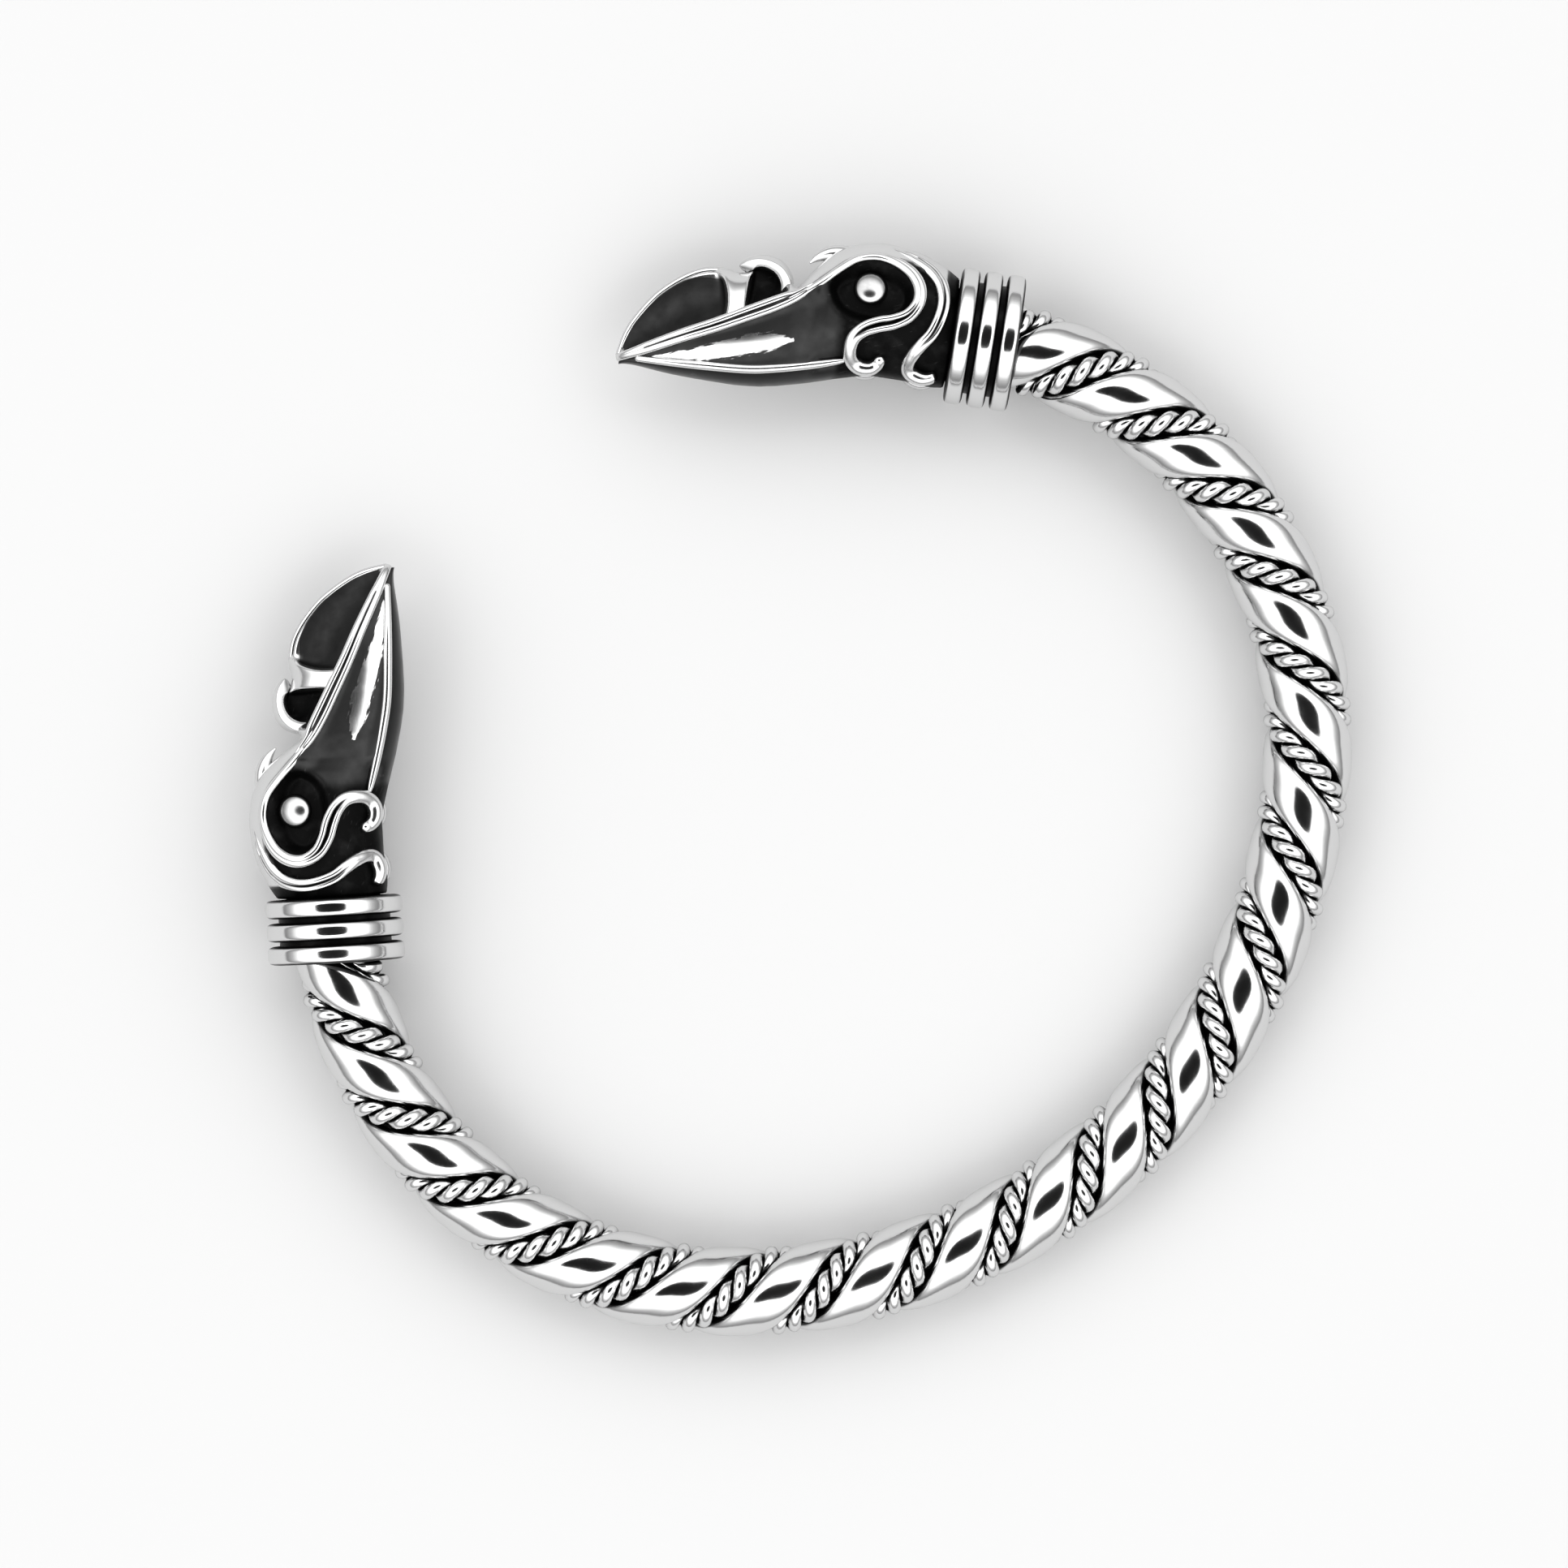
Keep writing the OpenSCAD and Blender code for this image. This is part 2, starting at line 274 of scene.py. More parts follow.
def makeSmoothStrand(k, line):
    sizes = smoothStrand
    piece = openCircle(sizes["sides"], 1)
    for v in piece.data.vertices:
        # a little squarer than an oval, so that the crest is flatter
        v.co = [copysign(abs(c) ** (2 / sizes["squareness"]), c) for c in v.co]
    piece.scale = (1, sizes["wide"] / 2, sizes["thick"] / 2)
    applyPlace(piece)
    standOff(piece, sizes["fromMiddle"], pitch)
    windAlong(piece, strandRun, pitch, sizes["stepsPerTurn"])
    piece.location = (rope["mouth"], 0, 0)
    piece.rotation_euler = (firstTurn(k) - pi / 2 - 2 * pi * rope["mouth"] / pitch, 0, 0)
    applyPlace(piece)
    cleanFaces(piece, fill=True)
    useModifier(piece, "CURVE", object=line, deform_axis="POS_X")
    paint(piece, "bare", lambda v: smoothstep(sizes["blackBelow"], sizes["brightAbove"], ropeDepth(v.co)))
    return joinPieces([piece], f"smoothStrand{k + 1}")


def makeTwistedPair(k):
    sizes = twistedPair
    turn = firstTurn(k, 0.5)
    path = [helixPoint(rope["mouth"] + strandRun * i / sizes["pathSteps"], turn, sizes["fromMiddle"])
            for i in range(sizes["pathSteps"] + 1)]
    length = sum((b - a).length for a, b in zip(path, path[1:]))
    line = curveLine("pairLine", path, "MINIMUM")
    wires = []
    for half in range(2):
        wire = openCircle(sizes["sides"], sizes["wire"] / 2)
        standOff(wire, sizes["apart"], sizes["lay"])
        windAlong(wire, length, sizes["lay"], sizes["stepsPerLay"])
        wire.rotation_euler = (pi * half, 0, 0)
        applyPlace(wire)
        cleanFaces(wire, fill=True)
        # the crease between the two wires is black
        paint(wire, "bare", lambda v: smoothstep(sizes["creaseBelow"], sizes["clearAbove"], hypot(*v.co.yz)))
        useModifier(wire, "CURVE", object=line, deform_axis="POS_X")
        wires.append(wire)
    bpy.data.objects.remove(line)
    pair = joinPieces(wires, f"twistedPair{k + 1}")
    paint(pair, "bare", lambda v: smoothstep(sizes["blackBelow"], sizes["brightAbove"], ropeDepth(v.co)))
    return pair


# The collars

collar = {"across": 9.2, "ringWide": 1.25, "ringStep": 1.55, "grooveDeep": 0.85, "bore": 3.25, "rings": 3,
          "sides": 96, "beadSteps": 16, "squareness": 4, "shadeAngle": 50,
          "blackBelow": 4.4, "brightAbove": 4.56}


def collarProfile():
    # distance along the collar and radius, from the bore round the outside and back
    groove = collar["across"] / 2 - collar["grooveDeep"]
    half = collar["ringStep"] * (collar["rings"] - 1) / 2 + collar["ringWide"] / 2
    squareness = collar["squareness"]
    outline = [(-half, collar["bore"])]
    for i in range(collar["rings"]):
        middle = (i - (collar["rings"] - 1) / 2) * collar["ringStep"]
        for j in range(collar["beadSteps"] + 1):
            a = pi * (j / collar["beadSteps"] - 0.5)
            rise = (1 - abs(sin(a)) ** squareness) ** (1 / squareness)
            outline.append((middle + collar["ringWide"] / 2 * sin(a), groove + collar["grooveDeep"] * rise))
    outline.append((half, collar["bore"]))
    return outline


def makeCollar():
    outline = collarProfile()
    piece = openCircle(collar["sides"], outline[0][1])
    piece.location = (outline[0][0], 0, 0)
    applyPlace(piece)
    bpy.ops.object.mode_set(mode="EDIT")
    for (x, r), (nextX, nextR) in zip(outline, outline[1:]):
        bpy.ops.mesh.extrude_region_move(TRANSFORM_OT_translate={"value": (nextX - x, 0, 0)})
        bpy.ops.transform.resize(value=(1, nextR / r, nextR / r), center_override=(nextX, 0, 0))
    bpy.ops.mesh.extrude_region_move(TRANSFORM_OT_translate={"value": (outline[0][0] - outline[-1][0], 0, 0)})
    bpy.ops.object.mode_set(mode="OBJECT")
    cleanFaces(piece)
    paint(piece, "bare", lambda v: smoothstep(collar["blackBelow"], collar["brightAbove"], hypot(*v.co.yz)))
    return piece


# The heads. x runs from the collar's middle to the beak's tip, y across and z to the crown.

head = {
    "rows": [  # x, top, brow line, bottom, half width, and how far the top is hollowed
        (2.275, 3.75, 0.0, -3.6, 3.75, 0), (3.2, 4.3, 0.2, -3.7, 4.0, 0), (5.0, 5.05, 0.6, -3.55, 4.15, 0),
        (7.2, 5.35, 1.0, -3.55, 4.15, 0), (9.1, 5.1, 1.2, -4.0, 4.0, 0), (10.6, 4.4, 1.3, -4.45, 3.72, 0),
        (11.5, 3.55, 1.3, -4.72, 3.55, 0), (12.2, 2.6, 1.2, -4.9, 3.38, 0), (13.0, 1.5, 0.8, -5.1, 3.2, 0),
        (13.4, 1.8, 0.55, -5.2, 3.14, 0), (14.1, 2.5, 0.2, -5.33, 3.05, 0.7),
        (14.5, 2.75, -0.05, -5.41, 3.0, 1), (15.4, 2.8, -0.55, -5.5, 2.92, 1),
        (15.9, 2.5, -0.82, -5.54, 2.87, 0.9), (16.3, 2.1, -1.02, -5.56, 2.82, 0.1),
        (17.3, 1.95, -1.55, -5.56, 2.7, 0), (17.6, 2.02, -1.7, -5.56, 2.66, 0.8),
        (18.2, 2.05, -2.0, -5.55, 2.57, 1), (19.5, 1.8, -2.65, -5.52, 2.35, 1),
        (20.5, 1.25, -3.15, -5.48, 2.1, 1), (21.5, 0.45, -3.65, -5.4, 1.8, 1),
        (22.3, -0.4, -4.05, -5.32, 1.52, 1), (23.2, -1.8, -4.5, -5.25, 1.13, 0.9),
        (23.8, -3.15, -4.82, -5.28, 0.7, 0.6), (24.1, -4.45, -5.05, -5.36, 0.32, 0)],
    "stem": (1.25, 2.18, 2.23), "stemRadius": 3.1,  # the stem's rings along x, inside the collar
    "sides": 144, "step": 0.1, "merge": 0.0005, "smoothBy": 0.5, "smoothing": 2,
    "fullness": (2.1, 0.3), "fullnessRise": (9, 13),  # power of the side's section, and what the beak adds
    "web": 0.36, "webGrows": 12, "hollowPower": 2.8,  # the thin wall that the hollows leave in the middle
    "leafFrom": 17.0, "leafCorner": 1.0,
    "crownStep": (0.35, 0.1), "cheekDeep": 0.42, "cheekEnds": (10.6, 11.6), "cheekFades": (0.84, 0.98),
    "panelDeep": 0.3, "panelTop": (0, 0.2), "panelFoot": (0.68, 0.86),
    "socketAt": (8.0, 1.85), "socketReach": (2.75, 2.3), "socketDeep": 1.5, "socketRim": (0.8, 1.05),
    "eyeAt": (8.1, 2.0), "eyeAcross": 2.3, "eyeFlat": 0.55, "eyeTilt": 18, "eyeSunk": 1.25,
    "eyeSides": (48, 32)}

bands = {  # each band's x and z, half the distance between its two ridges, and their radius
    "brow": [(24.1, -4.9, 0.02, 0.27), (23.0, -4.4, 0.1, 0.27), (22, -3.9, 0.15, 0.28),
             (20, -2.9, 0.2, 0.29), (18, -1.95, 0.23, 0.29), (16, -0.9, 0.26, 0.28),
             (14.5, -0.1, 0.27, 0.28), (13.3, 0.6, 0.24, 0.28), (12.5, 1.15, 0.16, 0.26),
             (11.8, 1.75, 0.08, 0.18), (11.2, 2.3, 0.02, 0.06)],
    "crown": [(8.0, 5.2, 0.02, 0.08), (7.2, 5.05, 0.02, 0.2), (6.4, 4.85, 0.05, 0.28),
              (5.6, 4.62, 0.12, 0.34), (4.4, 4.05, 0.16, 0.36), (3.6, 3.3, 0.18, 0.33),
              (3.2, 2.4, 0.2, 0.3), (3.1, 1.5, 0.21, 0.28), (3.25, 0.5, 0.21, 0.27),
              (3.6, -0.5, 0.19, 0.28), (4.15, -1.3, 0.14, 0.33), (4.65, -2.1, 0.05, 0.42),
              (4.85, -2.8, 0, 0.48), (4.6, -3.3, 0, 0.5), (3.95, -3.55, 0, 0.48), (3.45, -3.5, 0, 0.42),
              (3.15, -3.35, 0, 0.38)],
    "eye": [(14.2, -0.05, 0, 0.06), (13.3, 0.5, 0, 0.2), (12.3, 1.15, 0, 0.24), (11.3, 2.05, 0, 0.25),
            (10.3, 3.1, 0, 0.26), (9.3, 3.95, 0, 0.27), (8.3, 4.3, 0, 0.28), (7.3, 4.3, 0.04, 0.29),
            (6.3, 4.0, 0.09, 0.3), (5.4, 3.4, 0.12, 0.32), (4.85, 2.5, 0.13, 0.33),
            (4.8, 1.5, 0.15, 0.32), (5.3, 0.55, 0.22, 0.28), (6.2, -0.05, 0.29, 0.25),
            (7.2, -0.4, 0.31, 0.24), (8.1, -0.85, 0.26, 0.27), (8.7, -1.5, 0.16, 0.34),
            (8.85, -2.3, 0.05, 0.44), (8.65, -3.0, 0, 0.5), (8.05, -3.4, 0, 0.52), (7.4, -3.4, 0, 0.5),
            (6.95, -3.1, 0, 0.44), (6.78, -2.8, 0, 0.4)],
    "rim": [(8.9, -3.05, 0, 0.06), (9.6, -3.25, 0, 0.22), (11.3, -3.72, 0, 0.3), (13.3, -4.2, 0, 0.32),
            (15.3, -4.58, 0, 0.33), (17.8, -4.78, 0, 0.32), (20.3, -4.92, 0, 0.28), (22.8, -5.0, 0, 0.22)],
    # x and z along the lower edge of the polished crown
    "crownEdge": [(3.2, 2.4), (3.6, 3.0), (4.4, 3.75), (5.6, 4.25), (6.3, 4.3), (7.3, 4.4), (8.3, 4.35),
                  (9.3, 4.0), (10.3, 3.2), (11.3, 2.25), (12.3, 1.35), (13.7, 0.5)],
    "step": 0.12, "sunk": 0.2, "leastSpread": 0.02, "lowest": 0.88, "evened": 16,
    "creasedFrom": 0.13, "creaseSunk": 0.05,
    "endTurns": (0.4, 0.8, 1.15, 1.45)}  # radians round the round ends, where they get a ring

curls = {
    "hood": [  # x, z and half width of the sheet over the second hollow
        (13.75, 0.4, 2.5), (13.62, 1.3, 2.2), (13.75, 2.1, 1.9), (14.3, 2.75, 1.6), (15.1, 3.0, 1.3),
        (15.9, 2.9, 0.95), (16.5, 2.55, 0.55), (16.8, 2.2, 0.15)],
    "hoodThick": 0.8, "hoodDrop": 0.35, "hoodMiddle": (15.2, 1.3), "hoodStep": 0.25, "hoodAcross": 8,
    "hoodRounding": 2,
    # x and z along the curl on the crown and along the beak's crest
    "tip": [(9.9, 4.2), (10.8, 4.2), (11.5, 4.0), (12.0, 3.7), (12.35, 3.35)], "tipRadii": (0.62, 0.08),
    "crest": [(16.9, 1.6), (17.4, 1.8), (18.5, 1.82), (19.5, 1.6), (20.5, 1.05), (21.5, 0.25), (22.3, -0.6),
              (23.2, -1.95), (23.8, -3.25), (24.1, -4.75)],
    "crestRadius": 0.28, "crestGrows": 8}

paints = {  # 0 is black oxide and 1 is bare steel. Pairs say where a change starts and ends.
    # the eye darkens towards its rim, partly black oxide and partly painted shade
    "eye": 0.75, "eyeOxideAndShadeRim": (0.88, 1.1), "groove": (0.05, 0.2), "hood": (-0.2, 0.2),
    "panel": 0.3, "panelStarts": (9.2, 10.2), "panelOutside": (0.98, 1.2),
    "belly": 0.44, "bellyStarts": (9.4, 10.2), "bellyBelow": (0.78, 0.84),
    "crownEnds": 13.2, "crownAbove": (-0.22, 0.02), "crownStarts": (2.9, 3.3),
    "secondHollow": (14.3, 16.0), "bridgeEnds": 16.4, "hollowEdge": (0.35, 0.75),
    # the bare rim along the leaf's top is wider and softer at the rear, by the second of each pair
    "leaf": 0.2, "leafRear": (18.2, 21), "leafRim": (0.36, 0.4), "leafSoft": (0.06, 0.4),
    "leafEdge": (0.3, 0.9),
    # x, z and half height of the painted highlight streak, bare steel that stands in for the reflection of
    # the light along the beak's side, and the lie of the grain in its ragged edge
    "highlightStreak": [(12.6, -2.15, 0.02), (13.2, -2.28, 0.4), (14.0, -2.45, 0.85), (15.5, -2.85, 1.0),
               (17.5, -3.55, 0.85), (19.5, -4.2, 0.55), (21.5, -4.65, 0.35), (22.8, -4.9, 0.1)],
    "highlightAngle": -20, "highlightEdgeFineness": (1.2, 7, 2)}  # how fine they are along, across and sideways


def headAt(x):
    # top, brow line, bottom, half width and hollow at x, smoothly between the rows
    rows = head["rows"]
    i = 1
    while i < len(rows) - 1 and rows[i][0] < x:
        i += 1
    a, b = rows[i - 1], rows[i]
    before, after = rows[max(0, i - 2)], rows[min(len(rows) - 1, i + 1)]
    t = max(0, min(1, (x - a[0]) / (b[0] - a[0])))
    out = []
    for c in range(1, 6):
        rise = b[c] - a[c]
        slopeIn = (b[c] - before[c]) / (b[0] - before[0]) * (b[0] - a[0])
        slopeOut = (after[c] - a[c]) / (after[0] - a[0]) * (b[0] - a[0])
        # a slope that runs past its row is held back
        slopeIn = 0 if rise * slopeIn <= 0 else max(-3 * abs(rise), min(3 * abs(rise), slopeIn))
        slopeOut = 0 if rise * slopeOut <= 0 else max(-3 * abs(rise), min(3 * abs(rise), slopeOut))
        out.append((2 * t ** 3 - 3 * t ** 2 + 1) * a[c] + (t ** 3 - 2 * t ** 2 + t) * slopeIn
                   + (3 * t ** 2 - 2 * t ** 3) * b[c] + (t ** 3 - t ** 2) * slopeOut)
    return out


def hollowAt(x, v):
    # how far the beak's top is hollowed at x, with the leaf's rear corner rounded towards the crest at v = 1
    if x > head["leafFrom"]:
        x = max(head["leafFrom"], x - head["leafCorner"] * v ** 3)
    return headAt(x)[4]


def fullnessAt(x):
    # the beak's sides are a little squarer than the cheeks
    cheeks, beakAdds = head["fullness"]
    return cheeks + beakAdds * smoothstep(*head["fullnessRise"], x)


def crownEdgeAt(x):
    # the polished crown's lower edge above x
    line = bands["crownEdge"]
    x = max(line[0][0], min(line[-1][0], x))
    for a, b in zip(line, line[1:]):
        if a[0] <= x <= b[0]:
            return a[1] + (b[1] - a[1]) * (x - a[0]) / (b[0] - a[0])
    return line[-1][1]


def skin(x, z):
    # half width of the head's outer skin at (x, z), and the way that it faces
    top, brow, bottom, half, _ = headAt(x)
    z = max(bottom, min(top, z))
    if z >= brow:
        v = min(1, (z - brow) / (top - brow))
        y = half * sqrt(1 - v * v)
        out = Vector((0, y / half ** 2, (z - brow) / (top - brow) ** 2))
    else:
        p = fullnessAt(x)
        v = min(1, (brow - z) / (brow - bottom))
        y = half * (1 - v ** p) ** (1 / p)
        out = Vector((0, (y / half) ** (p - 1) / half, -v ** (p - 1) / (brow - bottom)))
    return y, out.normalized()


def fromSocket(x, z):
    # distance from the eye socket's middle, 1 at its edge
    (middleX, middleZ), (reachX, reachZ) = head["socketAt"], head["socketReach"]
    return hypot((x - middleX) / reachX, (z - middleZ) / reachZ)


def cutAway(x, z, angle):
    # how deep the core lies under the skin
    brow, bottom = headAt(x)[1:3]
    cranium = 1 - smoothstep(*head["cheekEnds"], x)
    far, near = head["crownStep"]
    deep = cranium * head["cheekDeep"] * (1 - smoothstep(-far, -near, z - crownEdgeAt(x)))
    if angle < 0:
        v = (brow - z) / (brow - bottom)
        deep *= 1 - smoothstep(*head["cheekFades"], v)
        panel = smoothstep(*head["panelTop"], v) * (1 - smoothstep(*head["panelFoot"], v))
        deep += (1 - cranium) * head["panelDeep"] * panel
    deep += (head["socketDeep"] - head["cheekDeep"]) * (1 - smoothstep(*head["socketRim"], fromSocket(x, z)))
    return deep


def corePoint(x, turn):
    # a point of the core's skin: turn 0 is the right side, 90 the top and -90 the bottom
    if x < head["rows"][0][0]:
        a = radians(turn)
        return Vector((x, head["stemRadius"] * cos(a), head["stemRadius"] * sin(a)))
    top, brow, bottom, half, _ = headAt(x)
    side = 1 if abs(turn) <= 90 else -1
    angle = turn if side > 0 else (180 - turn if turn > 0 else -180 - turn)
    v = abs(sin(radians(angle)))
    hollow = hollowAt(x, v)
    if angle >= 0:
        z = brow + (top - brow) * v
        web = min(head["web"], half)
        scooped = web * min(1, (1 - v) * head["webGrows"]) + (half - web) * (1 - v) ** head["hollowPower"]
        y = (1 - hollow) * half * cos(radians(angle)) + hollow * scooped
    else:
        z = brow - (brow - bottom) * v
        y = skin(x, z)[0]
    out = skin(x, z)[1]
    deep = cutAway(x, z, angle) * (1 - hollow if angle >= 0 else 1)
    return Vector((x, side * max(0, y - deep * out.y), z - deep * out.z))


def makeCore():
    # a circle pushed along x, each new ring set to the head's section there
    places = list(head["stem"])
    first, last = head["rows"][0][0], head["rows"][-1][0]
    count = round((last - first) / head["step"])
    places += [first + (last - first) * i / count for i in range(count + 1)]
    deselectAll()
    bpy.ops.mesh.primitive_circle_add(vertices=head["sides"], radius=1, fill_type="NGON",
                                      rotation=(pi / head["sides"], pi / 2, 0))
    core = bpy.context.object
    applyPlace(core)
    bpy.ops.object.mode_set(mode="EDIT")
    mesh = bmesh.from_edit_mesh(core.data)
    turn = mesh.verts.layers.float.new("turn")
    for v in mesh.verts:
        v[turn] = degrees(atan2(v.co.z, v.co.y))
    for x in places:
        if x > places[0]:
            bpy.ops.mesh.extrude_region_move()
        mesh = bmesh.from_edit_mesh(core.data)
        turn = mesh.verts.layers.float["turn"]
        for v in mesh.verts:
            if v.select:
                v.co = corePoint(x, v[turn])
    bmesh.update_edit_mesh(core.data)
    bpy.ops.object.mode_set(mode="OBJECT")
    cleanFaces(core, merge=head["merge"])
    return core


def bandLine(rows, way, sunk, side):
    # a band drawn in side view, moved to one of its ridges and laid on the skin, with the ridge's radius
    points, radii = [], []
    for i, (x, z, spread, radius) in enumerate(rows):
        nextX, nextZ = rows[min(len(rows) - 1, i + 1)][:2]
        lastX, lastZ = rows[max(0, i - 1)][:2]
        run = hypot(nextX - lastX, nextZ - lastZ)
        spread = max(spread, bands["leastSpread"])
        x -= (nextZ - lastZ) / run * spread * way
        z += (nextX - lastX) / run * spread * way
        top, brow, bottom = headAt(x)[:3]
        # low down a band stays on the side instead of turning under the head
        y, facing = skin(x, max(z, brow - bands["lowest"] * (brow - bottom)))
        points.append(Vector((x, side * (y - sunk * facing.y), min(top, z) - sunk * facing.z)))
        radii.append(radius)
    for _ in range(bands["evened"]):
        ys = [p.y for p in points]
        for p, before, own, after in zip(points[1:-1], ys, ys[1:], ys[2:]):
            p.y = (before + 2 * own + after) / 4
    return points, radii


def roundEnd(points, radii):
    # a line and its radii, closed with a round end
    end, radius = points[-1], radii[-1]
    ahead = (end - points[-2]).normalized()
    turns = bands["endTurns"]
    return points + [end + ahead * radius * sin(a) for a in turns], radii + [radius * cos(a) for a in turns]


def makeBands(side):
    # each band is two bars side by side, with a black crease between them, and the rim is one bar
    made = []
    for name in ("brow", "crown", "eye", "rim"):
        rows = smoothRows(bands[name], bands["step"])
        double = [row for row in rows if row[2] > bands["creasedFrom"]]
        creases = KDTree(len(double))
        if double:
            for i, p in enumerate(bandLine(double, 0, bands["creaseSunk"], side)[0]):
                creases.insert(p, i)
        creases.balance()
        for way in ((0,) if name == "rim" else (-1, 1)):
            bar = tube(*roundEnd(*bandLine(rows, way, bands["sunk"], side)))
            if double:
                paint(bar, "bare", lambda v: smoothstep(*paints["groove"], creases.find(v.co)[2]))
            else:
                paint(bar, "bare", lambda v: 1)
            made.append(bar)
    return made


def makeEye(side):
    x, z = head["eyeAt"]
    y = skin(x, z)[0]
    deselectAll()
    segments, rings = head["eyeSides"]
    bpy.ops.mesh.primitive_uv_sphere_add(segments=segments, ring_count=rings, radius=head["eyeAcross"] / 2)
    ball = bpy.context.object
    ball.scale = (1, head["eyeFlat"], 1)
    applyPlace(ball)
    ball.rotation_euler = (side * radians(head["eyeTilt"]), 0, 0)
    ball.location = (x, side * (y - head["eyeSunk"]), z)
    applyPlace(ball)
    # the eye is bare in its middle and darker towards its rim: partly black oxide where it sinks into the
    # socket, partly painted shade for the dark rim of its reflection
    paint(ball, "bare", lambda v: paints["eye"] * (1 - smoothstep(*paints["eyeOxideAndShadeRim"],
                                                                  hypot(v.co.x - x, v.co.z - z))))
    return ball


def makeHood():
    # a sheet that arches forward over the second hollow, drooping to both sides, black inside
    spine = smoothLine(curls["hood"], curls["hoodStep"])
    across = curls["hoodAcross"]
    deselectAll()
    bpy.ops.mesh.primitive_grid_add(x_subdivisions=len(spine) - 1, y_subdivisions=across, size=1)
    hood = bpy.context.object
    rows = across + 1
    count = rows * len(spine)
    border = set()
    for i, v in enumerate(sorted(hood.data.vertices, key=lambda v: (round(v.co.x, 5), v.co.y))):
        x, z, half = spine[i // rows]
        share = 2 * (i % rows) / across - 1
        v.co = (x, half * share, z - curls["hoodDrop"] * half * share * share)
        if abs(share) == 1:
            border.add(v.index)
    useModifier(hood, "SOLIDIFY", thickness=curls["hoodThick"], offset=0)
    cleanFaces(hood)
    x, z = curls["hoodMiddle"]
    # the outside and the border of both faces are bare
    paint(hood, "bare", lambda v: 1 if v.index % count in border else smoothstep(
        *paints["hood"], v.normal.dot(Vector((v.co.x - x, 0, v.co.z - z)).normalized())))
    useModifier(hood, "SUBSURF", levels=curls["hoodRounding"], render_levels=curls["hoodRounding"])
    return hood


def coreBare(v):
    # where the black is polished off the core
    x, _, z = v.co
    top, brow, bottom, _, hollow = headAt(x)
    panel = paints["panel"] * smoothstep(*paints["panelStarts"], x)
    panel *= smoothstep(*paints["panelOutside"], fromSocket(x, z))
    if z <= brow:
        belly = smoothstep(*paints["bellyBelow"], (brow - z) / (brow - bottom))
        return panel + (paints["belly"] - panel) * belly * smoothstep(*paints["bellyStarts"], x)
    if x < paints["crownEnds"]:
        crown = smoothstep(*paints["crownAbove"], z - crownEdgeAt(x))
        return max(panel, crown * smoothstep(*paints["crownStarts"], x))
    if x < paints["bridgeEnds"]:
        first, last = paints["secondHollow"]
        return 0 if first < x < last else 1 - smoothstep(*paints["hollowEdge"], hollow)
    rear = 1 - smoothstep(*paints["leafRear"], x)
    rim, soft = (least + rear * more for least, more in (paints["leafRim"], paints["leafSoft"]))
    return max(smoothstep(rim + soft, rim - soft, top - z), paints["leaf"],
               1 - smoothstep(*paints["leafEdge"], hollowAt(x, (z - brow) / (top - brow))))


def coreSideHighlight(v):
    # a painted highlight: the streak on the beak's side, painted as bare steel to stand in for the reflection
    # of the light there
    x, _, z = v.co
    line = paints["highlightStreak"]
    if not line[0][0] < x < line[-1][0] or z > headAt(x)[1]:
        return 0
    i = next(k for k in range(1, len(line)) if x <= line[k][0])
    t = (x - line[i - 1][0]) / (line[i][0] - line[i - 1][0])
    middle, reach = (line[i - 1][c] + (line[i][c] - line[i - 1][c]) * t for c in (1, 2))
    return max(0, 1 - abs(z - middle) / reach)


def makeHead():
    core = makeCore()
    useModifier(core, "SMOOTH", factor=head["smoothBy"], iterations=head["smoothing"])
    paint(core, "bare", coreBare)
    # the streak painted here is a painted highlight, bare steel standing in for the reflection of the light
    # on the beak's side
    paint(core, "sideHighlight", coreSideHighlight)
    # the painted highlight's ragged edge runs along the beak, so the pattern is stretched that way
    highlightEdgeCoords = core.data.attributes.new("highlightEdgeCoords", "FLOAT_VECTOR", "POINT")
    turn = radians(paints["highlightAngle"])
    ways = (Vector((cos(turn), 0, sin(turn))), Vector((-sin(turn), 0, cos(turn))), Vector((0, 1, 0)))
    highlightEdgeCoords.data.foreach_set("vector", [v.co @ way * fineness for v in core.data.vertices
                                      for way, fineness in zip(ways, paints["highlightEdgeFineness"])])
    parts = [core]
    for side in (-1, 1):
        parts += makeBands(side)
        parts.append(makeEye(side))
    crest = smoothLine([Vector((x, 0, z)) for x, z in curls["crest"]], bands["step"])
    tip = smoothLine([Vector((x, 0, z)) for x, z in curls["tip"]], bands["step"])
    wide, fine = curls["tipRadii"]
    taper = [wide + (fine - wide) * (i / (len(tip) - 1)) ** 2 for i in range(len(tip))]
    growing = [curls["crestRadius"] * min(1, (i + 1) / curls["crestGrows"]) for i in range(len(crest))]
    for line, radii in ((crest, growing), (tip, taper)):
        bar = tube(*roundEnd(line, radii))
        paint(bar, "bare", lambda v: 1)
        parts.append(bar)
    parts.append(makeHood())
    whole = joinPieces(parts, "head")
    only(whole)
    bpy.ops.object.shade_smooth()
    return whole


# Putting the pieces in place

def collarPlace():
    return ropeMiddle(0)[0]


def ontoRightEnd(piece):
    # from a piece's own x along the ring's end to the ring's frame, lying flat
    piece.rotation_euler = (pi / 2, 0, 0)
    applyPlace(piece)
    piece.rotation_euler = (0, 0, pi / 2 + collarAngle + radians(ring["headTurn"]))
    piece.location = collarPlace()
    applyPlace(piece)


def mirrored(piece, name):
    # a copy for the other end, with its own mesh and its faces turned outwards again
    copy = piece.copy()
    copy.data = piece.data.copy()
    bpy.context.scene.collection.objects.link(copy)
    copy.scale = (-1, 1, 1)
    applyPlace(copy)
    cleanFaces(copy, merge=0)
    copy.name = name
    copy.data.name = name
    return copy


